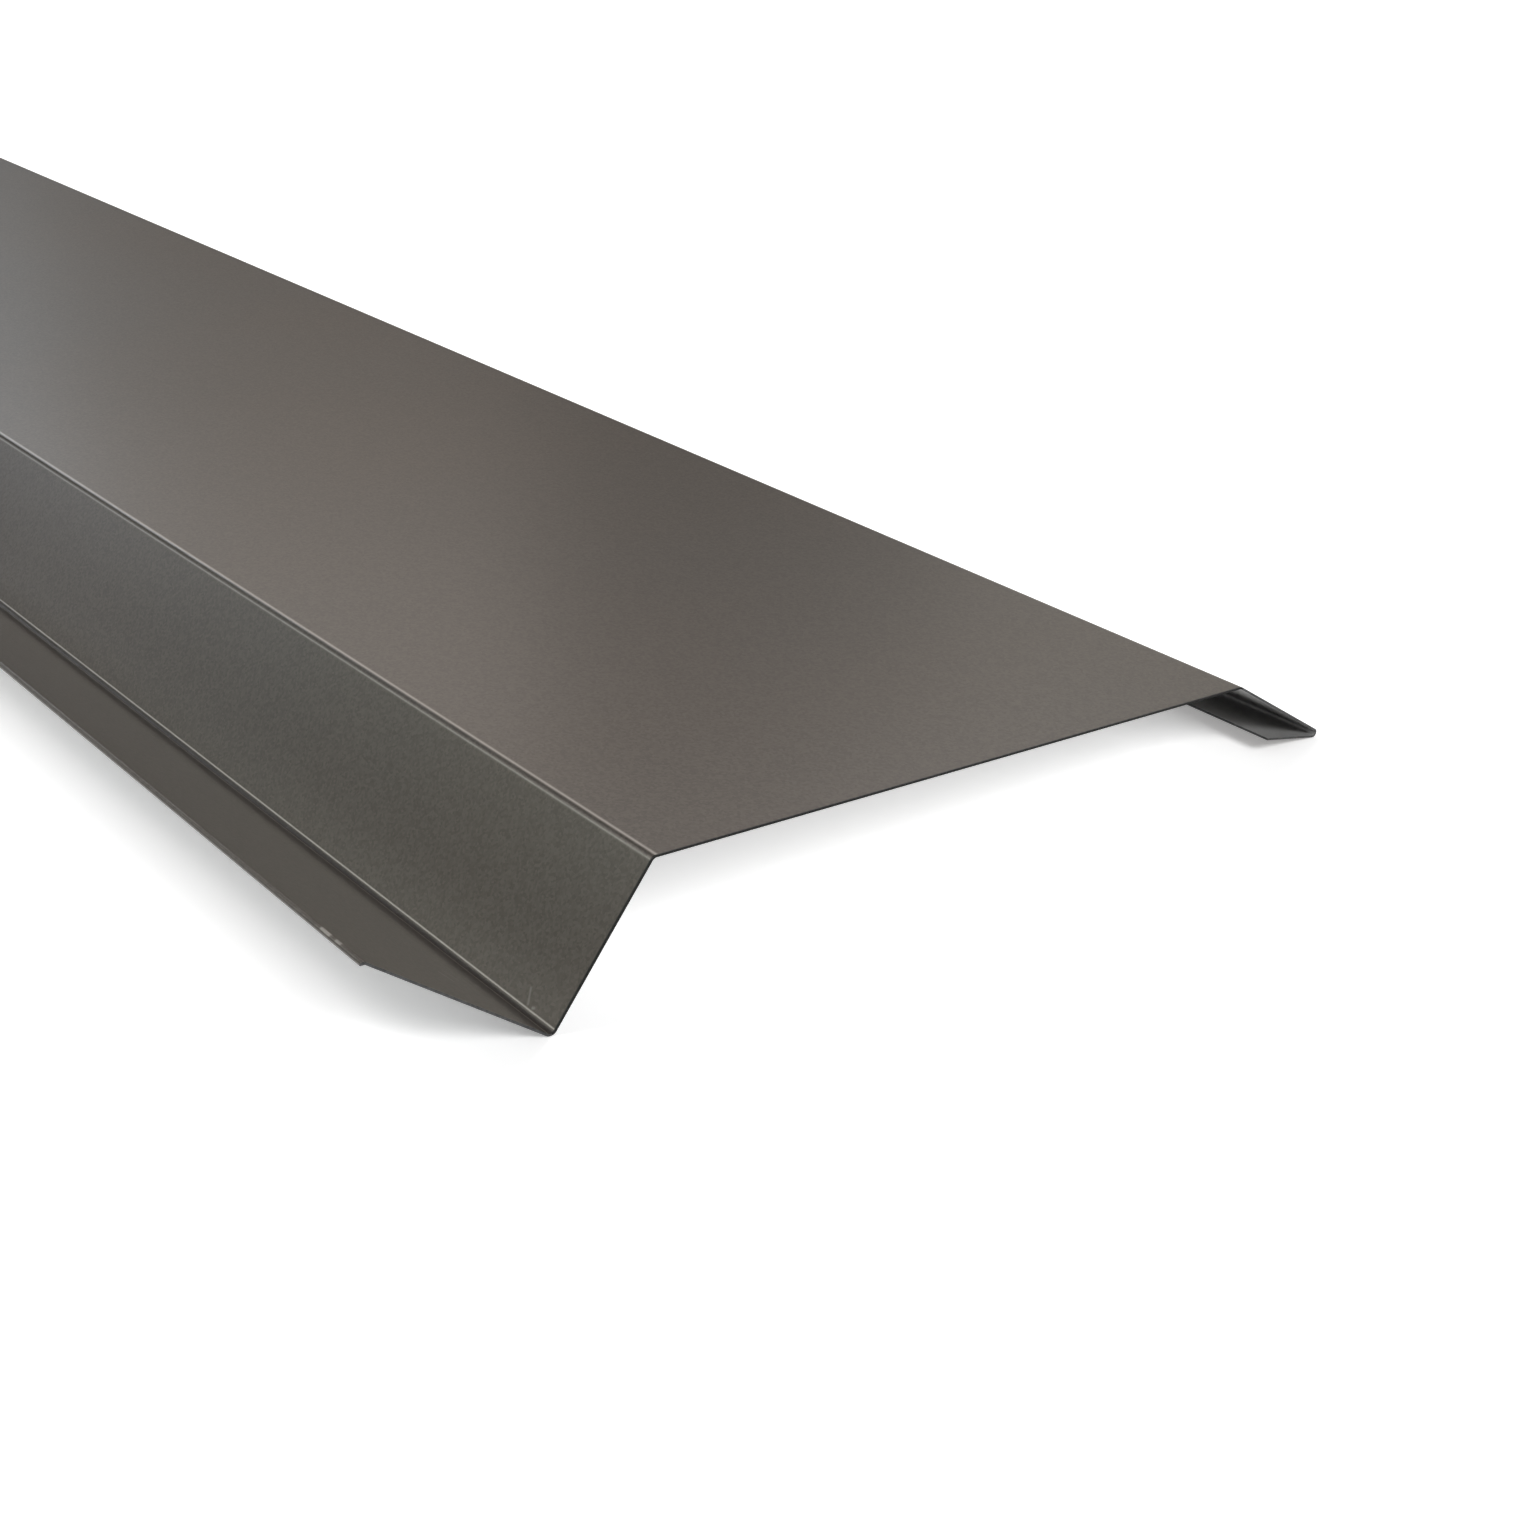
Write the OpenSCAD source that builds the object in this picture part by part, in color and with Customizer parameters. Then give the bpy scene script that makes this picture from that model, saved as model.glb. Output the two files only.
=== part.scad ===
// Verge trim: one length of coated steel sheet, folded lengthways.
// The section is walked from the hem at the front lip to the drip return
// at the back: a flat, a bend, a flat, a bend, and so on to the last flat.
// The piece lies as it would on a level floor, on its front valley bend
// and on its return fold. X runs along the length, -Y is the lip side.

/* [Sheet] */
// Length of the piece
length = 2000; // [500:50:4000]
// Thickness of the coated sheet
sheet_t = 0.5; // [0.4:0.05:1.0]

/* [Flats, measured on the coated face] */
// Depth of the hem folded under the lip
hem_w = 8; // [6:0.5:15]
// Length cut off the hem's two corners, so that no end of it sticks out
hem_nip = 8; // [2:0.5:12]
// Width of the lip that lies on the roof covering
lip_w = 48; // [30:1:80]
// Width of the front leg
front_w = 39; // [20:1:70]
// Width of the wide cover face
face_w = 165; // [100:1:250]
// Width of the back leg
back_w = 35; // [20:1:60]
// Width of the return below the back leg
return_w = 18; // [8:1:26]

/* [Angles between two flats] */
// Valley between the lip and the front leg
valley_angle = 90; // [80:1:130]
// Ridge between the front leg and the cover face
front_angle = 125; // [100:1:150]
// Ridge between the cover face and the back leg
back_angle = 150; // [120:1:165]
// Fold between the back leg and the return
return_angle = 20; // [14:1:45]

/* [Radii, on the inside of each bend] */
// Valley and both ridges
bend_r = 1.2; // [0.5:0.1:3.0]
// Return fold
return_r = 0.6; // [0.3:0.1:1.5]
// Hem fold, half of the gap left inside the hem
hem_r = 0.15; // [0.1:0.05:0.5]

/* [Hidden] */

// Degrees of turn in one facet of a bend
bend_step = 10;

// The bends in the order of the walk: how far the sheet turns, left being
// positive, and the radius inside. The coated face is on the left hand.
bends = [
    [-180, hem_r],
    [180 - valley_angle, bend_r],
    [front_angle - 180, bend_r],
    [back_angle - 180, bend_r],
    [return_angle - 180, return_r]
];
VALLEY = 1;
RETURN = 4;

// The flats in the same order, one more than the bends.
widths = [hem_w, lip_w, front_w, face_w, back_w, return_w];
LAST = len(widths) - 1;

function unit(a) = [cos(a), sin(a)];
function reversed(v) = [for (i = [len(v) - 1 : -1 : 0]) v[i]];

// Radius of bend i on each face: the thickness is on the outside of a bend.
function turns_right(i) = bends[i][0] < 0;
function coated_r(i) = bends[i][1] + (turns_right(i) ? sheet_t : 0);
function reverse_r(i) = bends[i][1] + (turns_right(i) ? 0 : sheet_t);

// What bend i takes off the flats beside it. Past a right angle a width is
// measured to the outermost line of the fold, as a tape would read it.
function setback(i) =
    let (turn = abs(bends[i][0]))
    coated_r(i) * (turn > 90 ? 1 : tan(turn / 2));

// Straight length of flat i, between the bends at its two ends.
function flat(i) =
    widths[i]
    - (i > 0 ? setback(i - 1) : 0)
    - (i < LAST ? setback(i) : 0);

// Heading of flat i, before the section is levelled.
function heading(i) = i == 0 ? 0 : heading(i - 1) + bends[i - 1][0];

// Ends of flat i on the reverse face, and the centre of the bend after it,
// which lies on the right of a right turn and on the left of a left one.
function to_centre(i) = turns_right(i) ? -reverse_r(i) : reverse_r(i);
function flat_start(i) =
    i == 0 ? [0, 0] : centre(i - 1) - to_centre(i - 1) * unit(heading(i) + 90);
function flat_end(i) = flat_start(i) + flat(i) * unit(heading(i));
function centre(i) = flat_end(i) + to_centre(i) * unit(heading(i) + 90);

// The round of bend i at radius r, from one flat to the next.
function bend_arc(i, r) =
    let (
        steps = ceil(abs(bends[i][0]) / bend_step),
        side = turns_right(i) ? 1 : -1
    )
    [for (k = [0 : steps])
        centre(i) + side * r * unit(heading(i) + 90 + bends[i][0] * k / steps)];

// One face of the sheet, from the hem's free edge to the return's. Each is
// the two free ends with the rounds of all the bends between them.
function face_line(lift, radii) = concat(
    [flat_start(0) + lift * unit(heading(0) + 90)],
    [for (i = [0 : len(bends) - 1]) each bend_arc(i, radii[i])],
    [flat_end(LAST) + lift * unit(heading(LAST) + 90)]
);
coated_line = face_line(sheet_t, [for (i = [0 : len(bends) - 1]) coated_r(i)]);
reverse_line = face_line(0, [for (i = [0 : len(bends) - 1]) reverse_r(i)]);

// The turn that sets the valley bend and the return fold on one level.
span = centre(RETURN) - centre(VALLEY);
level = asin((return_r - bend_r) / norm(span)) - atan2(span.y, span.x);

function levelled(p) =
    [p.x * cos(level) - p.y * sin(level), p.x * sin(level) + p.y * cos(level)];
outline = [for (p = concat(coated_line, reversed(reverse_line))) levelled(p)];

// Middle and lowest line of the levelled section, its place in the frame.
middle = (min([for (p = outline) p.x]) + max([for (p = outline) p.x])) / 2;
low = min([for (p = outline) p.y]);

// The wedge that nips one corner of the hem. It starts at the end of the
// hem's fold, grows to hem_nip at the free edge, and reaches from the middle
// of the hem's gap to well past the hem, so that the lip stays whole.
past = 5;
module hem_corner() {
    slope = hem_nip / flat(0);
    translate([0, sheet_t + past, 0])
        rotate([90, 0, 0])
            linear_extrude(sheet_t + past + hem_r)
                polygon([
                    [flat(0) + past, length / 2 + past * slope],
                    [-past, length / 2 - hem_nip - past * slope],
                    [-past, length / 2 + past * slope]
                ]);
}

module verge_trim() {
    color("#6a645d")
        translate([0, -middle, -low])
            rotate([90, 0, 90])
                difference() {
                    linear_extrude(length, center = true)
                        polygon(outline);
                    for (end = [0, 1])
                        mirror([0, 0, end])
                            rotate([0, 0, level])
                                hem_corner();
                }
}

verge_trim();
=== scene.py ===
# %% [markdown]
# # Verge trim: a length of folded, colour-coated steel
#
# A verge trim closes the sloping edge of a roof. It is one strip of thin
# sheet, painted in the coil before it was ever cut, and then folded five
# times along its length: a hem, a valley, two ridges and a return. There is
# nothing else on it, so everything that makes it look real is in the folds,
# in the way a thin flat sheet is never quite flat, and in the coating.

import math

import bmesh
import bpy
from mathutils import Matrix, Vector


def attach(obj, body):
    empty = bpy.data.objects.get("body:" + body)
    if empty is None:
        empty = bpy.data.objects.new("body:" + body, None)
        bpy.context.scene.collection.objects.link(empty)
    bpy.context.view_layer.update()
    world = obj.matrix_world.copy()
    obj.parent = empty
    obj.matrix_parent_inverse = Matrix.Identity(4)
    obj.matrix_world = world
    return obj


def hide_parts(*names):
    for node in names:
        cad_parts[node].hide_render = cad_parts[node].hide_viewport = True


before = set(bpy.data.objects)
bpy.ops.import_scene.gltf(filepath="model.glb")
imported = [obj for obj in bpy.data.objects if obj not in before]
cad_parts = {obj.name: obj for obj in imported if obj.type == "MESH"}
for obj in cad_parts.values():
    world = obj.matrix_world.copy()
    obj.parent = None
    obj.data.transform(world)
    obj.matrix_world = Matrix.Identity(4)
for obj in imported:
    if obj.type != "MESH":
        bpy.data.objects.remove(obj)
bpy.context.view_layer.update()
MM = 0.001

# %% [markdown]
# ## Camera
#
# The photograph was taken with a normal lens from a low height beyond one
# end, so the far end runs out of the picture. The camera's place and lens
# follow from where the long fold lines meet on the horizon and from how the
# section looks at the near end.

# %% Camera
PHOTO_WIDTH = 1536
FOCAL_PX = 2365.66
SENSOR = 36.0
CAMERA_PLACE = Vector((1.32562, -0.29004, 0.24124))
CAMERA_DOWN = math.radians(25.948)
CAMERA_TURN = math.radians(37.727)

lens = bpy.data.cameras.new("camera")
lens.sensor_width = SENSOR
lens.lens = SENSOR * FOCAL_PX / PHOTO_WIDTH
lens.clip_start = 0.01
lens.clip_end = 50
camera = bpy.data.objects.new("camera", lens)
bpy.context.collection.objects.link(camera)
looks_along = Vector((
    -math.cos(CAMERA_TURN) * math.cos(CAMERA_DOWN),
    math.sin(CAMERA_TURN) * math.cos(CAMERA_DOWN),
    -math.sin(CAMERA_DOWN),
))
camera.location = CAMERA_PLACE
camera.rotation_euler = looks_along.to_track_quat("-Z", "Y").to_euler()
bpy.context.scene.camera = camera
print("lens", round(lens.lens, 1), "mm")

# %% [markdown]
# ## The fold line
#
# A folder thinks of the trim as a strip of blank with lines on it. So does
# this script: it walks along the middle of the sheet from the hem's free
# edge to the return's, over a flat, round a bend, over the next flat, and
# notes a station every little way. Each station knows where it lies in the
# folded section, which way the coated face looks there, how far across the
# blank it is, how slack the sheet is (most in the middle of a wide flat,
# nothing at a bend), and how much painted highlight or painted shade its
# colour carries.

# %% Sizes of the fold
LENGTH = 2000 * MM
SHEET = 0.5 * MM
HEM, LIP, FRONT, COVER, BACK, RETURN = (
    w * MM for w in (8, 48, 39, 165, 35, 18))
VALLEY_ANGLE, FRONT_ANGLE, BACK_ANGLE, RETURN_ANGLE = 90, 125, 150, 20
HEM_R, BEND_R, RETURN_R = (r * MM for r in (0.15, 1.2, 0.6))
HEM_NIP = 8 * MM

# Turn and inside radius of each bend, a left turn being positive.
BENDS = [
    (-180, HEM_R),
    (180 - VALLEY_ANGLE, BEND_R),
    (FRONT_ANGLE - 180, BEND_R),
    (BACK_ANGLE - 180, BEND_R),
    (RETURN_ANGLE - 180, RETURN_R),
]
# The painted light at each bend: strength and reach of the mark before it,
# strength inside it, strength and reach of the mark after it. A light mark
# is a painted highlight line, a dark one a band of painted shade that fades
# slowly, as on the lip beside the valley; a dark strength inside a bend is
# painted shade too. Where a shade band meets its bend, a faint painted
# highlight line is laid.
FAINT_HIGHLIGHT, FAINT_HIGHLIGHT_REACH = 0.45, 0.42 * MM
PAINTED_FOLD_LIGHT = [
    ((0.0, 0.4 * MM), -0.15, (0.0, 0.4 * MM)),
    ((-0.62, 6.5 * MM), -0.55, (1.0, 0.3 * MM)),
    ((0.42, 0.35 * MM), -0.3, (0.74, 0.6 * MM)),
    ((0.15, 0.4 * MM), -0.1, (0.1, 0.4 * MM)),
    ((0.1, 0.4 * MM), 0.1, (0.1, 0.4 * MM)),
]
FLATS = [HEM, LIP, FRONT, COVER, BACK, RETURN]
# The lip's colour is lifted a little, a painted brightening for the light that
# falls on it.
LIP_LIFT = [0.0, 0.08, 0.0, 0.0, 0.0, 0.0]


def coated_radius(turn, inside):
    """Radius of a bend on the coated face."""
    return inside + (SHEET if turn < 0 else 0)


def setback(turn, inside):
    """What a bend takes off the flats beside it."""
    radius = coated_radius(turn, inside)
    if abs(turn) > 90:
        return radius
    return radius * math.tan(math.radians(abs(turn)) / 2)


def unit(degrees):
    return Vector((math.cos(math.radians(degrees)),
                   math.sin(math.radians(degrees))))


def straight(i):
    """Straight part of flat i."""
    before = setback(*BENDS[i - 1]) if i else 0
    after = setback(*BENDS[i]) if i < len(BENDS) else 0
    return FLATS[i] - before - after


print("straight parts, mm:", [round(straight(i) / MM, 2) for i in range(6)])

# %% [markdown]
# Beside a bend the stations are close together, because that is where the
# painted highlights and shade change within a fraction of a millimetre. In
# the middle of a flat they are as far apart as the slow ripple allows. The
# painted light is laid here too: a highlight fades evenly from its bend, a
# band of painted shade keeps its strength for a third of its reach before
# it fades.

# %% Stations across the section
# Degrees of turn from one station of a bend to the next, how long a band
# of painted shade holds out, and on a flat the places of the stations beside
# its bends and about how far the others are apart.
FACET = 5.0
SHADE_HOLD = 1.5
CLOSE = [d * MM for d in (0, 0.15, 0.3, 0.6, 3.0, 6.0, 9.0)]
GRID = 9.0 * MM


def flat_steps(width):
    """Places along a flat: close together beside its bends, then even."""
    near = [d for d in CLOSE if d < 0.45 * width]
    far = [width - d for d in reversed(near)]
    count = max(1, round((far[0] - near[-1]) / GRID))
    gap = (far[0] - near[-1]) / count
    return near + [near[-1] + gap * k for k in range(1, count)] + far


def on_flat(painted_light, distance):
    """Painted highlight or shade on a flat, at a distance from its bend."""
    strength, reach = painted_light
    left = max(0.0, 1 - distance / reach)
    if strength < 0:
        return strength * min(1.0, SHADE_HOLD * left)
    return strength * left


def in_bend(painted_light, distance, inside):
    """The same in the bend: painted highlights reach in, shade bands end
    there.
    """
    strength, reach = painted_light
    if strength < 0:
        return FAINT_HIGHLIGHT if distance < FAINT_HIGHLIGHT_REACH else inside
    return inside + (strength - inside) * max(0.0, 1 - distance / reach)


def nipped(across):
    """How far the blank's end is cut back, as far as the hem's fold."""
    turn, inside = BENDS[0]
    fold_end = straight(0) + math.radians(abs(turn)) * (inside + SHEET / 2)
    return HEM_NIP * max(0.0, 1 - across / fold_end)


def station(place, heading, across, painted_light, slack=0.0):
    return dict(place=place, normal=unit(heading + 90), across=across,
                slack=slack, painted_light=painted_light, nip=nipped(across))


def walk():
    """The stations, not yet level, the bends' centres and the width."""
    stations = []
    place, heading, across = Vector((0, 0)), 0.0, 0.0
    centres = []
    for i in range(len(FLATS)):
        width = straight(i)
        for step in flat_steps(width):
            # Painted light on the flat: the lip's painted brightening and the
            # painted highlights and shade of the bends beside it.
            painted_light = LIP_LIFT[i]
            if step < width / 2 and i:
                painted_light += on_flat(PAINTED_FOLD_LIGHT[i - 1][2], step)
            if step > width / 2 and i < len(BENDS):
                painted_light += on_flat(PAINTED_FOLD_LIGHT[i][0], width - step)
            share = min(1.0, width / COVER)
            slack = share * math.sin(math.pi * step / width)
            stations.append(station(place + step * unit(heading), heading,
                                    across + step, painted_light, slack))
        place = place + width * unit(heading)
        across += width
        if i == len(BENDS):
            break
        turn, inside = BENDS[i]
        middle = inside + SHEET / 2
        side = 1 if turn < 0 else -1
        centre = place - side * middle * unit(heading + 90)
        centres.append(centre)
        count = max(4, math.ceil(abs(turn) / FACET))
        arc = middle * math.radians(abs(turn))
        for k in range(1, count):
            here = heading + turn * k / count
            along = arc * k / count
            before, inside_light, after = PAINTED_FOLD_LIGHT[i]
            if along < arc / 2:
                painted_light = in_bend(before, along, inside_light)
            else:
                painted_light = in_bend(after, arc - along, inside_light)
            stations.append(station(centre + side * middle * unit(here + 90),
                                    here, across + along, painted_light))
        heading += turn
        across += arc
        place = centre + side * middle * unit(heading + 90)
    return stations, centres, across


stations, centres, BLANK = walk()
print(len(stations), "stations over a blank", round(BLANK / MM, 1), "mm wide")

# %% [markdown]
# The piece lies on two of its bends, the valley and the return fold. The
# section is turned until both are level, and moved so that it stands on the
# floor with its box centred.

# %% Level the section
span = centres[4] - centres[1]
level = (math.asin((RETURN_R - BEND_R) / span.length)
         - math.atan2(span.y, span.x))


def turned(v):
    return Vector((v.x * math.cos(level) - v.y * math.sin(level),
                   v.x * math.sin(level) + v.y * math.cos(level)))


left = turned(centres[0]).x - HEM_R - SHEET
right = turned(centres[4]).x + RETURN_R + SHEET
low = turned(centres[1]).y - BEND_R - SHEET
shift = Vector(((left + right) / 2, low))
for s in stations:
    s["place"] = turned(s["place"]) - shift
    s["normal"] = turned(s["normal"])
print("section is", round((right - left) / MM, 2), "mm wide")

# %% [markdown]
# The stations become a mesh of points and edges, the only thing that the
# fold tree is given. What a station knows goes with it as an attribute.

# %% The fold line as a mesh with attributes
line = bpy.data.meshes.new("fold line")
line.from_pydata(
    [(0, *s["place"]) for s in stations],
    [(k, k + 1) for k in range(len(stations) - 1)],
    [],
)
facing = line.attributes.new("facing", "FLOAT_VECTOR", "POINT")
for k, s in enumerate(stations):
    facing.data[k].vector = (0, *s["normal"])
for name in ("across", "slack", "painted_light", "nip"):
    layer = line.attributes.new(name, "FLOAT", "POINT")
    for k, s in enumerate(stations):
        layer.data[k].value = s[name]
trim = bpy.data.objects.new("trim_sheet", line)
bpy.context.collection.objects.link(trim)
print("fold line:", len(line.vertices), "points")

# %% [markdown]
# ## Helpers for node trees
#
# Geometry trees and materials are both built from a few short calls, so
# that the cells below read as a list of what each node does.

# %% Helpers for node trees


def put(tree, kind, place, inputs=None, **settings):
    """Add a node, set its properties, then its inputs by name or index."""
    node = tree.nodes.new(kind)
    node.location = place
    for key, value in settings.items():
        setattr(node, key, value)
    for key, value in (inputs or {}).items():
        if isinstance(value, bpy.types.NodeSocket):
            tree.links.new(value, node.inputs[key])
        else:
            node.inputs[key].default_value = value
    return node


def math_node(tree, what, place, *values, clamp=False):
    node = put(tree, "ShaderNodeMath", place, operation=what,
               use_clamp=clamp)
    for k, value in enumerate(values):
        if isinstance(value, bpy.types.NodeSocket):
            tree.links.new(value, node.inputs[k])
        else:
            node.inputs[k].default_value = value
    return node.outputs[0]


def new_tree(name, kind, inputs, outputs):
    """A node group with named sockets; each is (name, type, default)."""
    tree = bpy.data.node_groups.new(name, kind)
    for label, socket, value in inputs:
        item = tree.interface.new_socket(
            label, in_out="INPUT", socket_type="NodeSocket" + socket)
        if value is not None:
            item.default_value = value
    for label, socket in outputs:
        tree.interface.new_socket(
            label, in_out="OUTPUT", socket_type="NodeSocket" + socket)
    return tree


# %% [markdown]
# ## Coating
#
# The face is a metallic coil coating: fine flakes in a brown-grey binder,
# satin, even over metres of strip. Seen close it has a faint sparkle from
# the flakes; seen from afar it only has slow drifts of tone. Along each
# bend a thin painted highlight line is laid on each side, and painted shade
# inside some bends and beside the valley. Flake, drift and the painted fold
# light are node groups, because the plain grey backing coat on the reverse
# has them too, only weaker.

# %% Group: flake


def flake_group():
    tree = new_tree(
        "Flake", "ShaderNodeTree",
        [("Scale", "Float", 1700.0), ("Strength", "Float", 0.06)],
        [("Tone", "Float"), ("Height", "Float")])
    start = put(tree, "NodeGroupInput", (-800, 0))
    where = put(tree, "ShaderNodeTexCoord", (-800, -200))
    cells = put(tree, "ShaderNodeTexVoronoi", (-560, 0),
                {"Vector": where.outputs["Object"],
                 "Scale": start.outputs["Scale"]})
    parts = put(tree, "ShaderNodeSeparateColor", (-360, 0),
                {"Color": cells.outputs["Color"]})
    centred = math_node(tree, "SUBTRACT", (-180, 0), parts.outputs[0], 0.5)
    swing = math_node(tree, "MULTIPLY", (0, 0), centred,
                      start.outputs["Strength"])
    tone = math_node(tree, "ADD", (180, 0), swing, 1.0)
    put(tree, "NodeGroupOutput", (400, 0),
        {"Tone": tone, "Height": parts.outputs[1]})
    return tree


flake = flake_group()
print("group", flake.name)

# %% Group: drift
WARMTH = 0.06


def drift_group():
    tree = new_tree(
        "Drift", "ShaderNodeTree",
        [("Scale", "Float", 9.0), ("Strength", "Float", 0.12)],
        [("Tone", "Float"), ("Tint", "Vector")])
    start = put(tree, "NodeGroupInput", (-900, 0))
    where = put(tree, "ShaderNodeTexCoord", (-900, -200))
    # The drifts run on further across the strip than along it.
    stretch = put(tree, "ShaderNodeMapping", (-700, 0),
                  {"Vector": where.outputs["Object"],
                   "Scale": (0.9, 0.6, 0.6)})
    wave = put(tree, "ShaderNodeTexNoise", (-480, 0),
               {"Vector": stretch.outputs[0],
                "Scale": start.outputs["Scale"],
                "Detail": 2.0, "Roughness": 0.5})
    parts = put(tree, "ShaderNodeSeparateColor", (-260, 0),
                {"Color": wave.outputs["Color"]})
    centred = math_node(tree, "SUBTRACT", (-60, 0), parts.outputs[0], 0.5)
    swing = math_node(tree, "MULTIPLY", (120, 0), centred,
                      start.outputs["Strength"])
    tone = math_node(tree, "ADD", (300, 0), swing, 1.0)
    # Warmer where the second wave is high, cooler where it is low.
    warm = math_node(tree, "MULTIPLY_ADD", (-60, -200), parts.outputs[1],
                     2 * WARMTH, 1 - WARMTH)
    cool = math_node(tree, "SUBTRACT", (120, -200), 2.0, warm)
    tint = put(tree, "ShaderNodeCombineXYZ", (300, -200),
               {"X": warm, "Y": 1.0, "Z": cool})
    put(tree, "NodeGroupOutput", (500, 0),
        {"Tone": tone, "Tint": tint.outputs[0]})
    return tree


drift = drift_group()
print("group", drift.name)

# %% Group: fold marks
# How many times faster than its painted shade a dark band loses its gloss.
GLOSS_LOSS = 3.0


def painted_light_group():
    """Paint highlight lines lighter and shade bands darker; shade also cuts
    gloss.
    """
    tree = new_tree(
        "Painted fold light", "ShaderNodeTree",
        [("Colour", "Color", (0.1, 0.1, 0.1, 1)),
         ("Painted highlight", "Color", (0.4, 0.4, 0.4, 1))],
        [("Colour", "Color"), ("Gloss", "Float")])
    start = put(tree, "NodeGroupInput", (-700, 0))
    painted_light = put(tree, "ShaderNodeAttribute", (-900, -200),
               attribute_name="painted_light").outputs["Fac"]
    shade_part = math_node(tree, "MINIMUM", (-700, -300), painted_light, 0.0)
    kept = math_node(tree, "ADD", (-500, -300), shade_part, 1.0)
    darker = put(tree, "ShaderNodeVectorMath", (-300, 0),
                 {0: start.outputs["Colour"], "Scale": kept},
                 operation="SCALE")
    light = math_node(tree, "MAXIMUM", (-500, -150), painted_light, 0.0, clamp=True)
    mixed = put(tree, "ShaderNodeMix", (-100, 0),
                {0: light, 6: darker.outputs[0],
                 7: start.outputs["Painted highlight"]}, data_type="RGBA")
    gloss = math_node(tree, "MULTIPLY_ADD", (-300, -300), shade_part,
                      GLOSS_LOSS, 1.0, clamp=True)
    put(tree, "NodeGroupOutput", (100, 0),
        {"Colour": mixed.outputs[2], "Gloss": gloss})
    return tree


painted_fold_light = painted_light_group()
print("group", painted_fold_light.name)

# %% [markdown]
# A shear pulls the faces of a sheet down a little before it cuts. On the
# front leg and the cover each face ends in a rim of painted shade, a
# near-black band that stands for the shadow at that rolled edge. The rim is
# narrower than the sheet is thick, but it makes the cut ends read as one
# crisp dark line. At the hem, the lip and past the back ridge no shade is
# painted.

# %% Group: painted rim shade
# The near-black of the painted shade on the leg's and the cover's cuts and
# rims, and the cut's own grey.
CUT_SHADE, EDGE_LIGHT = 0.006, 0.07
RIM = 0.3 * MM
LIGHT_UNTIL = HEM + LIP
DARK_UNTIL = LIGHT_UNTIL + FRONT + COVER


def cut_mask(tree, place):
    """One on the flats whose cut gets painted shade: the front leg and the
    cover.
    """
    across = put(tree, "ShaderNodeAttribute", (place[0] - 200, place[1]),
                 attribute_name="across").outputs["Fac"]
    middle = (LIGHT_UNTIL + DARK_UNTIL) / 2
    return math_node(tree, "COMPARE", place, across, middle,
                     middle - LIGHT_UNTIL)


def rim_shade_group():
    """Paint shade on a face's last fraction of a millimetre at both ends."""
    tree = new_tree(
        "Painted rim shade", "ShaderNodeTree",
        [("Colour", "Color", (0.1, 0.1, 0.1, 1)), ("Rim", "Float", RIM)],
        [("Colour", "Color")])
    start = put(tree, "NodeGroupInput", (-900, 0))
    where = put(tree, "ShaderNodeTexCoord", (-1100, -200))
    along = put(tree, "ShaderNodeSeparateXYZ", (-900, -200),
                {0: where.outputs["Object"]})
    to_end = math_node(tree, "SUBTRACT", (-500, -200), LENGTH / 2,
                       math_node(tree, "ABSOLUTE", (-700, -200),
                                 along.outputs["X"]))
    share = math_node(tree, "DIVIDE", (-300, -200), to_end,
                      start.outputs["Rim"])
    at_end = math_node(tree, "SUBTRACT", (-100, -200), 1.5, share,
                       clamp=True)
    dark = math_node(tree, "MULTIPLY", (-100, -300), at_end,
                     cut_mask(tree, (-300, -400)))
    mixed = put(tree, "ShaderNodeMix", (100, 0),
                {0: dark, 6: start.outputs["Colour"],
                 7: (CUT_SHADE, CUT_SHADE, CUT_SHADE, 1)},
                data_type="RGBA")
    put(tree, "NodeGroupOutput", (300, 0), {"Colour": mixed.outputs[2]})
    return tree


rim_shade = rim_shade_group()
print("group", rim_shade.name)

# %% [markdown]
# Handling leaves a few short scratches near the end that was picked up. A
# scratch is a line between two points of the sheet, so its mask is one
# where the distance to that line is nothing, and nothing further out than
# the scratch is wide. One group serves them all.

# %% Group: scratch


def scratch_group():
    tree = new_tree(
        "Scratch", "ShaderNodeTree",
        [("From", "Vector", (0, 0, 0)), ("To", "Vector", (0, 0, 1)),
         ("Width", "Float", 0.0003), ("Strength", "Float", 1.0)],
        [("Mask", "Float")])
    start = put(tree, "NodeGroupInput", (-1000, 0))
    where = put(tree, "ShaderNodeTexCoord", (-1000, -300))

    def vector(what, place, first, second, **more):
        node = put(tree, "ShaderNodeVectorMath", place,
                   {0: first, 1: second}, operation=what, **more)
        return node.outputs["Value" if what in ("DOT_PRODUCT", "DISTANCE")
                            else "Vector"]

    run = vector("SUBTRACT", (-800, 100), start.outputs["To"],
                 start.outputs["From"])
    here = vector("SUBTRACT", (-800, -100), where.outputs["Object"],
                  start.outputs["From"])
    share = math_node(tree, "DIVIDE", (-400, 0),
                      vector("DOT_PRODUCT", (-600, 100), here, run),
                      vector("DOT_PRODUCT", (-600, -100), run, run),
                      clamp=True)
    foot = put(tree, "ShaderNodeVectorMath", (-200, 0),
               {0: run, "Scale": share}, operation="SCALE")
    off = vector("DISTANCE", (0, 0), here, foot.outputs[0])
    near = math_node(tree, "SUBTRACT", (400, 0), 1.0,
                     math_node(tree, "DIVIDE", (200, 0), off,
                               start.outputs["Width"]), clamp=True)
    mask = math_node(tree, "MULTIPLY", (600, 0), near,
                     start.outputs["Strength"])
    put(tree, "NodeGroupOutput", (800, 0), {"Mask": mask})
    return tree


scratch = scratch_group()
print("group", scratch.name)

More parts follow.
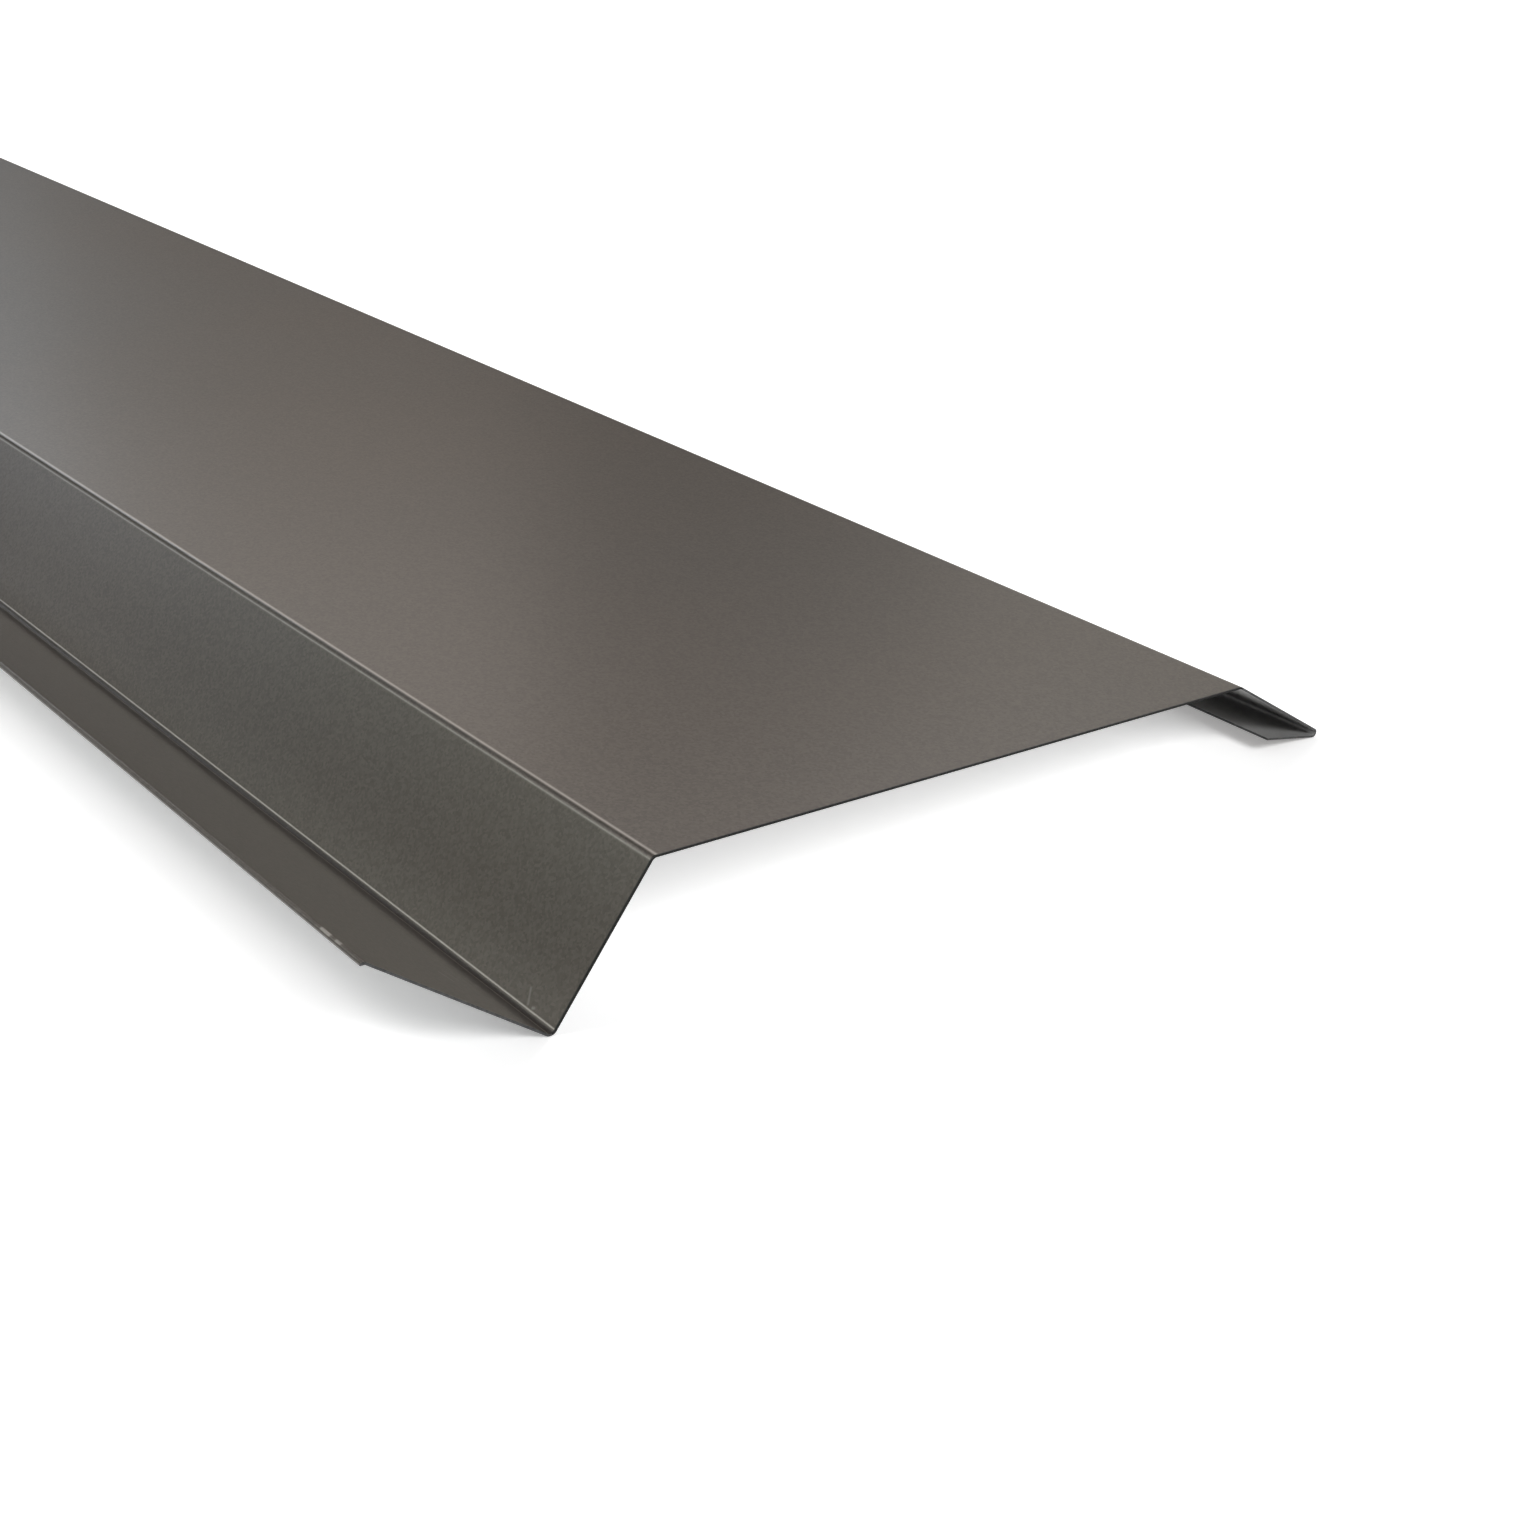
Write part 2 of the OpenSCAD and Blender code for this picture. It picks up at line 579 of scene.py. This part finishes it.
# %% [markdown]
# Both coats are made by one function. It multiplies the base colour by
# flake and drift, lays the painted highlights and shade of the folds and, on
# the coated face, the scratches over it, and ends it in the rim of painted
# shade. The face also has a clear gloss, which the bends and the shade bands
# have lost.

# %% Materials
# How high the flakes stand, how much of that shows, and how rough the
# gloss over them is.
FLAKE_HEIGHT, FLAKE_BUMP = 0.05 * MM, 0.12
GLOSS_ROUGHNESS = 0.25
# Scratches, in mm: from, to, width, and how much lighter they are.
SCRATCHES = [
    ((982.9, -103.4, 10.9), (986.1, -102.3, 10.0), 0.45, 0.30),
    ((979.5, -101.0, 8.9), (983.5, -99.8, 8.0), 0.35, 0.14),
    ((988.3, -86.8, 3.8), (989.8, -88.5, 1.6), 0.45, 0.22),
    ((991.5, -88.6, 1.5), (991.9, -88.5, 1.6), 0.5, 0.35),
    ((984.5, -127.4, 29.6), (987.5, -127.4, 29.6), 0.6, 0.7),
    ((990.0, -127.4, 29.6), (991.5, -127.4, 29.6), 0.5, 0.6),
    ((997.6, 99.2, 20.7), (999.0, 99.5, 20.7), 0.5, 0.5),
]


def group(tree, which, place, inputs):
    return put(tree, "ShaderNodeGroup", place, inputs, node_tree=which)


def scratched(tree, colour, light):
    """Lay the scratches over a colour, one after another."""
    for k, (start, end, width, strength) in enumerate(SCRATCHES):
        mask = group(tree, scratch, (-900, -600 - 200 * k), {
            "From": [v * MM for v in start], "To": [v * MM for v in end],
            "Width": width * MM, "Strength": strength}).outputs["Mask"]
        colour = put(tree, "ShaderNodeMix", (-700 + 60 * k, -600),
                     {0: mask, 6: colour, 7: light},
                     data_type="RGBA").outputs[2]
    return colour


def coat(name, base, highlight_and_scratch, roughness, metallic, flakes, gloss=0.0):
    """A coil coating: base colour, flake, drift, painted fold highlights and
    shade.
    """
    material = bpy.data.materials.new(name)
    material.use_nodes = True
    tree = material.node_tree
    shader = tree.nodes["Principled BSDF"]
    grain = group(tree, flake, (-1300, 200), {"Strength": flakes})
    slow = group(tree, drift, (-1300, 0), {})
    tone = math_node(tree, "MULTIPLY", (-1100, 100),
                     grain.outputs["Tone"], slow.outputs["Tone"])
    warm = put(tree, "ShaderNodeVectorMath", (-1100, 300),
               {0: slow.outputs["Tint"], 1: base}, operation="MULTIPLY")
    colour = put(tree, "ShaderNodeVectorMath", (-900, 200),
                 {0: warm.outputs[0], "Scale": tone}, operation="SCALE")
    folds = group(tree, painted_fold_light, (-700, 200),
                  {"Colour": colour.outputs[0],
                   "Painted highlight": (*highlight_and_scratch, 1)})
    result = folds.outputs["Colour"]
    if gloss:
        result = scratched(tree, result, (*highlight_and_scratch, 1))
    ends = group(tree, rim_shade, (-300, 100), {"Colour": result})
    tree.links.new(ends.outputs["Colour"], shader.inputs["Base Color"])
    shader.inputs["Roughness"].default_value = roughness
    shader.inputs["Metallic"].default_value = metallic
    if gloss:
        weight = math_node(tree, "MULTIPLY", (-300, -450),
                           folds.outputs["Gloss"], gloss)
        tree.links.new(weight, shader.inputs["Coat Weight"])
        shader.inputs["Coat Roughness"].default_value = GLOSS_ROUGHNESS
    bump = put(tree, "ShaderNodeBump", (-300, -200),
               {"Height": grain.outputs["Height"], "Strength": FLAKE_BUMP,
                "Distance": FLAKE_HEIGHT})
    tree.links.new(bump.outputs[0], shader.inputs["Normal"])
    return material


# The second colour is the painted highlight on the folds, and on the coated
# face also the colour of the scratches.
coated = coat("coated face", base=(0.106, 0.090, 0.075),
              highlight_and_scratch=(0.50, 0.47, 0.43), roughness=0.42, metallic=0.5,
              flakes=0.34, gloss=0.4)
backing = coat("backing coat", base=(0.47, 0.47, 0.465),
               highlight_and_scratch=(0.6, 0.6, 0.6), roughness=0.38, metallic=0.5,
               flakes=0.08)
print("materials", coated.name, backing.name)

# %% [markdown]
# The cut itself is painted near-black with shade on the leg and the cover,
# like the rims beside it, and keeps its own grey elsewhere. It is matt,
# with a strong grain.

# %% Sheared edges
EDGE_GRAIN = 0.5


def edge_material():
    material = bpy.data.materials.new("sheared edge")
    material.use_nodes = True
    tree = material.node_tree
    shader = tree.nodes["Principled BSDF"]
    # The leg's and the cover's cuts are painted with shade.
    value = math_node(tree, "MULTIPLY_ADD", (-500, 0),
                      cut_mask(tree, (-700, 0)),
                      CUT_SHADE - EDGE_LIGHT, EDGE_LIGHT)
    grain = group(tree, flake, (-500, -200), {"Strength": EDGE_GRAIN})
    value = math_node(tree, "MULTIPLY", (-300, 0), value,
                      grain.outputs["Tone"])
    grey = put(tree, "ShaderNodeCombineColor", (-150, 0),
               {0: value, 1: value, 2: value})
    tree.links.new(grey.outputs[0], shader.inputs["Base Color"])
    shader.inputs["Roughness"].default_value = 0.6
    shader.inputs["Specular IOR Level"].default_value = 0.2
    return material


bare = edge_material()
print("material", bare.name)

# %% [markdown]
# ## Folding the blank
#
# Instead of sweeping a closed outline, the tree starts from what the maker
# starts from: a flat blank, here a mesh cube that is very thin, cut into
# rows along its length and as many columns as there are stations. Each
# corner looks up its station on the fold line and moves there, on the
# coated or the reverse side. The blank's faces are sorted into coated face,
# reverse and sheared edge while it is still flat and that is easy, and the
# slack of a wide flat sheet is added as a slow ripple along the normal.

# %% Fold tree


def fold_tree():
    tree = new_tree(
        "Fold a blank", "GeometryNodeTree",
        [("Fold line", "Geometry", None),
         ("Length", "Float", 1.0),
         ("Thickness", "Float", 0.001),
         ("Stations", "Int", 10),
         ("Rows", "Int", 10),
         ("Ripple", "Float", 0.0),
         ("Ripple length", "Float", 0.3),
         ("Ripple seed", "Float", 1.0),
         ("Coated face", "Material", None),
         ("Reverse", "Material", None),
         ("Sheared edge", "Material", None)],
        [("Trim", "Geometry")])
    start = put(tree, "NodeGroupInput", (-1600, 0))
    given = start.outputs

    size = put(tree, "ShaderNodeCombineXYZ", (-1380, 200),
               {"X": given["Length"], "Y": 1.0, "Z": given["Thickness"]})
    blank = put(tree, "GeometryNodeMeshCube", (-1180, 200),
                {"Size": size.outputs[0], "Vertices X": given["Rows"],
                 "Vertices Y": given["Stations"], "Vertices Z": 2})

    # Which side of the flat blank a face is on.
    normal = put(tree, "GeometryNodeInputNormal", (-1180, -80))
    up = put(tree, "ShaderNodeSeparateXYZ", (-1000, -80),
             {0: normal.outputs["Normal"]})
    side = put(tree, "GeometryNodeCaptureAttribute", (-800, 200),
               {"Geometry": blank.outputs["Mesh"]}, domain="FACE")
    side.capture_items.new("FLOAT", "Side")
    tree.links.new(up.outputs["Z"], side.inputs[1])

    # The blank's borders turn more than a radian there, and stay sharp
    # when everything else is smooth.
    bend = put(tree, "GeometryNodeInputMeshEdgeAngle", (-800, 420))
    soft = math_node(tree, "LESS_THAN", (-620, 420),
                     bend.outputs["Unsigned Angle"], 1.0)
    borders = put(tree, "GeometryNodeSetShadeSmooth", (-420, 200),
                  {"Geometry": side.outputs["Geometry"],
                   "Shade Smooth": soft}, domain="EDGE")

    # Each corner's place on the blank gives its station on the fold line.
    here = put(tree, "GeometryNodeInputPosition", (-1180, -300))
    at = put(tree, "ShaderNodeSeparateXYZ", (-1000, -300),
             {0: here.outputs[0]})
    share = math_node(tree, "ADD", (-820, -300), at.outputs["Y"], 0.5)
    last = math_node(tree, "SUBTRACT", (-820, -460), given["Stations"], 1.0)
    station = math_node(tree, "ROUND", (-480, -300),
                        math_node(tree, "MULTIPLY", (-640, -300),
                                  share, last))

    def looked_up(attribute, kind, place):
        named = put(tree, "GeometryNodeInputNamedAttribute",
                    (place[0] - 200, place[1]), {"Name": attribute},
                    data_type=kind)
        return put(tree, "GeometryNodeSampleIndex", place,
                   {"Geometry": given["Fold line"],
                    "Value": named.outputs["Attribute"], "Index": station},
                   data_type=kind).outputs["Value"]

    line_place = put(tree, "GeometryNodeInputPosition", (-500, -560))
    spot = put(tree, "GeometryNodeSampleIndex", (-300, -560),
               {"Geometry": given["Fold line"],
                "Value": line_place.outputs[0], "Index": station},
               data_type="FLOAT_VECTOR").outputs["Value"]
    faces = looked_up("facing", "FLOAT_VECTOR", (-300, -760))
    slack = looked_up("slack", "FLOAT", (-300, -960))
    across = looked_up("across", "FLOAT", (-300, -1160))
    painted_light = looked_up("painted_light", "FLOAT", (-300, -1360))
    nip = looked_up("nip", "FLOAT", (-300, -1560))

    # The hem's corners are nipped: its end rows stop short of the ends.
    reach = math_node(tree, "SUBTRACT", (-100, -1460),
                      math_node(tree, "MULTIPLY", (-300, -1720),
                                given["Length"], 0.5), nip)
    short = math_node(tree, "MINIMUM", (80, -1460), reach,
                      math_node(tree, "MAXIMUM", (-100, -1620),
                                at.outputs["X"],
                                math_node(tree, "MULTIPLY", (80, -1620),
                                          reach, -1.0)))

    # The ripple depends on the place along and across the blank only, so
    # both faces of the sheet move together.
    along = put(tree, "ShaderNodeCombineXYZ", (-100, -960),
                {"X": at.outputs["X"], "Y": across,
                 "Z": given["Ripple seed"]})
    wave = put(tree, "ShaderNodeTexNoise", (100, -960),
               {"Vector": along.outputs[0],
                "Scale": math_node(tree, "DIVIDE", (-100, -1120), 1.0,
                                   given["Ripple length"]),
                "Detail": 1.0})
    swell = math_node(tree, "SUBTRACT", (280, -960),
                      wave.outputs["Fac"], 0.5)
    swell = math_node(tree, "MULTIPLY", (440, -960), swell,
                      math_node(tree, "MULTIPLY", (280, -1120), slack,
                                given["Ripple"]))
    lift = math_node(tree, "ADD", (600, -700), at.outputs["Z"], swell)
    offset = put(tree, "ShaderNodeVectorMath", (760, -600), {0: faces},
                 operation="SCALE")
    tree.links.new(lift, offset.inputs["Scale"])
    folded = put(tree, "ShaderNodeVectorMath", (920, -500),
                 {0: spot, 1: offset.outputs[0]}, operation="ADD")
    length_only = put(tree, "ShaderNodeCombineXYZ", (920, -340),
                      {"X": short})
    final = put(tree, "ShaderNodeVectorMath", (1080, -400),
                {0: folded.outputs[0], 1: length_only.outputs[0]},
                operation="ADD")

    # What the materials need is kept before the corners move.
    keep = borders.outputs["Geometry"]
    for k, (name, value) in enumerate((("across", across), ("painted_light", painted_light))):
        stored = put(tree, "GeometryNodeStoreNamedAttribute",
                     (200 * k, 200),
                     {"Geometry": keep, "Name": name, "Value": value},
                     data_type="FLOAT", domain="POINT")
        keep = stored.outputs["Geometry"]
    moved = put(tree, "GeometryNodeSetPosition", (1260, 200),
                {"Geometry": keep, "Position": final.outputs[0]})

    # Smooth over the bends, sharp along the sheared edges.
    is_face = math_node(tree, "GREATER_THAN", (1260, -100),
                        math_node(tree, "ABSOLUTE", (1100, -100),
                                  side.outputs[1]), 0.5)
    smooth = put(tree, "GeometryNodeSetShadeSmooth", (1440, 200),
                 {"Geometry": moved.outputs[0], "Shade Smooth": is_face},
                 domain="FACE")
    real = put(tree, "GeometryNodeRealizeInstances", (1620, 200),
               {"Geometry": smooth.outputs[0]})
    is_coated = math_node(tree, "GREATER_THAN", (1440, -100),
                          side.outputs[1], 0.5)
    is_reverse = math_node(tree, "LESS_THAN", (1440, -260),
                           side.outputs[1], -0.5)
    result = real.outputs[0]
    for k, (where, which) in enumerate((
            (None, "Sheared edge"), (is_coated, "Coated face"),
            (is_reverse, "Reverse"))):
        setter = put(tree, "GeometryNodeSetMaterial", (1800 + 180 * k, 200),
                     {"Geometry": result, "Material": given[which]})
        if where is not None:
            tree.links.new(where, setter.inputs["Selection"])
        result = setter.outputs[0]
    put(tree, "NodeGroupOutput", (2400, 200), {"Trim": result})
    return tree


folding = fold_tree()
print("tree", folding.name, "with", len(folding.nodes), "nodes")

# %% [markdown]
# The tree runs as a modifier on the fold line, and the mesh that comes out
# takes the line's place, so that the finished sheet needs no modifier. The
# ripple is a few waves along the piece, and never more than half its height
# from the flat.

# %% Run the tree and keep the result
ROW_LENGTH = 12.5 * MM
RIPPLE_HEIGHT, RIPPLE_LENGTH, RIPPLE_SEED = 0.5 * MM, 0.25, 3.0


def run_tree(obj, tree, values):
    """Set the tree's inputs by their identifiers and keep what it makes."""
    modifier = obj.modifiers.new(tree.name, "NODES")
    modifier.node_group = tree
    identifiers = {item.name: item.identifier
                   for item in tree.interface.items_tree
                   if item.in_out == "INPUT"}
    for name, value in values.items():
        modifier[identifiers[name]] = value
    bpy.context.view_layer.update()
    ready = obj.evaluated_get(bpy.context.evaluated_depsgraph_get())
    mesh = bpy.data.meshes.new_from_object(ready)
    obj.modifiers.remove(modifier)
    # The cube brings an empty material slot, which nothing uses.
    empty = sum(1 for m in mesh.materials if m is None)
    kept = [m for m in mesh.materials if m is not None]
    which = [p.material_index - empty for p in mesh.polygons]
    mesh.materials.clear()
    for m in kept:
        mesh.materials.append(m)
    mesh.polygons.foreach_set("material_index", which)
    obj.data = mesh
    return mesh


mesh = run_tree(trim, folding, {
    "Length": LENGTH,
    "Thickness": SHEET,
    "Stations": len(stations),
    "Rows": round(LENGTH / ROW_LENGTH) + 1,
    "Ripple": RIPPLE_HEIGHT,
    "Ripple length": RIPPLE_LENGTH,
    "Ripple seed": RIPPLE_SEED,
    "Coated face": coated,
    "Reverse": backing,
    "Sheared edge": bare,
})
mesh.name = "trim_sheet"
print(len(mesh.polygons), "faces,", [m.name for m in mesh.materials])

# %% Check the sheet is closed and points outwards
check = bmesh.new()
check.from_mesh(mesh)
open_edges = sum(1 for e in check.edges if not e.is_manifold)
print("open edges:", open_edges, "volume, cm3:",
      round(check.calc_volume(signed=True) * 1e6, 1))
check.free()
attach(trim, "root")
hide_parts("verge_trim")

# %% [markdown]
# ## Floor and light
#
# The trim lies on a plain white floor under soft light. The floor is lit
# to about the white it is painted, and a little of its own light, seen only
# by the camera and in reflections, lifts it to the clean white of a studio
# sweep without lighting the object any more. Half of that light fades where
# the trim stands close over the floor, so that the floor keeps the soft
# shadow along the trim's edges. Further out, where the lamps no longer
# reach, the floor's own light grows until it is as white as the world
# behind it.

# %% Floor
FLOOR_HALF = 8.0
FLOOR_TOP = -0.1 * MM
FLOOR_WHITE = (0.94, 0.94, 0.94)
# The floor's own light, how close the trim has to be to shade it, and how
# far out the lamps' light is enough.
FLOOR_GLOW = 0.53
SHADE_REACH = 22 * MM
LIT_RADIUS = 1.3
floor_mesh = bpy.data.meshes.new("floor")
floor_mesh.from_pydata(
    [(-FLOOR_HALF, -FLOOR_HALF, FLOOR_TOP),
     (FLOOR_HALF, -FLOOR_HALF, FLOOR_TOP),
     (FLOOR_HALF, FLOOR_HALF, FLOOR_TOP),
     (-FLOOR_HALF, FLOOR_HALF, FLOOR_TOP)],
    [], [(0, 1, 2, 3)])
floor = bpy.data.objects.new("floor", floor_mesh)
bpy.context.collection.objects.link(floor)
paper = bpy.data.materials.new("white floor")
paper.use_nodes = True
tree = paper.node_tree
shader = tree.nodes["Principled BSDF"]
shader.inputs["Base Color"].default_value = (*FLOOR_WHITE, 1)
shader.inputs["Roughness"].default_value = 1.0
shader.inputs["Specular IOR Level"].default_value = 0.0
path = put(tree, "ShaderNodeLightPath", (-700, -200))
seen = math_node(tree, "MAXIMUM", (-500, -200),
                 path.outputs["Is Camera Ray"], path.outputs["Is Glossy Ray"])
seen = math_node(tree, "MAXIMUM", (-400, -200), seen,
                 path.outputs["Is Transmission Ray"])
open_sky = put(tree, "ShaderNodeAmbientOcclusion", (-500, -400),
               {"Distance": SHADE_REACH}, samples=4)
glow = math_node(tree, "MULTIPLY_ADD", (-300, -400),
                 open_sky.outputs["AO"], FLOOR_GLOW / 2, FLOOR_GLOW / 2)
where = put(tree, "ShaderNodeTexCoord", (-900, -600))
away = put(tree, "ShaderNodeVectorMath", (-700, -600),
           {0: where.outputs["Object"]}, operation="LENGTH")
outer = put(tree, "ShaderNodeMapRange", (-500, -600),
            {"Value": away.outputs["Value"], "From Min": LIT_RADIUS,
             "From Max": 2 * LIT_RADIUS, "To Min": 0.0,
             "To Max": 1 - FLOOR_GLOW}, interpolation_type="SMOOTHSTEP")
own = math_node(tree, "MULTIPLY", (-150, -300), seen,
                math_node(tree, "ADD", (-300, -500), glow,
                          outer.outputs["Result"]))
shader.inputs["Emission Color"].default_value = (1, 1, 1, 1)
tree.links.new(own, shader.inputs["Emission Strength"])
floor_mesh.materials.append(paper)

# %% [markdown]
# The world is white for the camera only, because its reflection in the
# satin face would light the cover far more than the photograph shows. A
# wide key and a front light do most of the work. The others are weak cards
# round the far end, each of which stands for a piece of the studio that the
# faces reflect, mostly cool on the lip's side and warm on the other.

# %% World and lamps
world = bpy.data.worlds.new("studio")
bpy.context.scene.world = world
world.use_nodes = True
tree = world.node_tree
back = tree.nodes["Background"]
path = put(tree, "ShaderNodeLightPath", (-600, 0))
back.inputs["Color"].default_value = (1, 1, 1, 1)
tree.links.new(path.outputs["Is Camera Ray"], back.inputs["Strength"])
MIDDLE = Vector((0.85, 0, 0))
LAMP_AWAY = 3.0


def softbox(name, turn, rise, power, tint=(1, 1, 1), width=0.8, height=0.6):
    """A rectangular lamp aimed at the trim's near half.

    turn is its direction round the trim from +X, rise its height angle."""
    light = bpy.data.lights.new(name, "AREA")
    light.shape = "RECTANGLE"
    light.size, light.size_y = width, height
    light.energy = power
    light.color = tint
    lamp = bpy.data.objects.new(name, light)
    t, r = math.radians(turn), math.radians(rise)
    out = Vector((math.cos(r) * math.cos(t), math.cos(r) * math.sin(t),
                  math.sin(r)))
    lamp.location = MIDDLE + LAMP_AWAY * out
    lamp.rotation_euler = out.to_track_quat("Z", "Y").to_euler()
    lamp.visible_camera = False
    bpy.context.collection.objects.link(lamp)
    return lamp


softbox("key", -4, 39, 61.5, width=1.3, height=0.9)
softbox("front", -135, 50, 33.5, (1.0, 0.985, 0.985), height=0.8)
softbox("front card", -145, 30, 4.6, (0.86, 1.0, 0.88))
softbox("low front card", -160, 18, 2.9, (0.85, 0.9, 1.0))
softbox("far card", 168, 24, 4.3, (0.84, 0.92, 1.0))
softbox("low far card", 168, 14, 0.44, (0.84, 0.94, 1.0))
softbox("middle card", 154, 24, 2.5, (1.0, 0.91, 0.83))
softbox("high card", 140, 34, 2.9, (1.0, 0.92, 0.88))
softbox("right card", 126, 34, 6.3, (0.99, 1.0, 0.995))
softbox("low right card", 126, 14, 0.8, (1.0, 0.91, 0.78))

# %% [markdown]
# ## Finish
#
# The view transform is the plain one, so that colours come out as they are
# written.

# %% Finish
bpy.context.scene.view_settings.view_transform = "Standard"
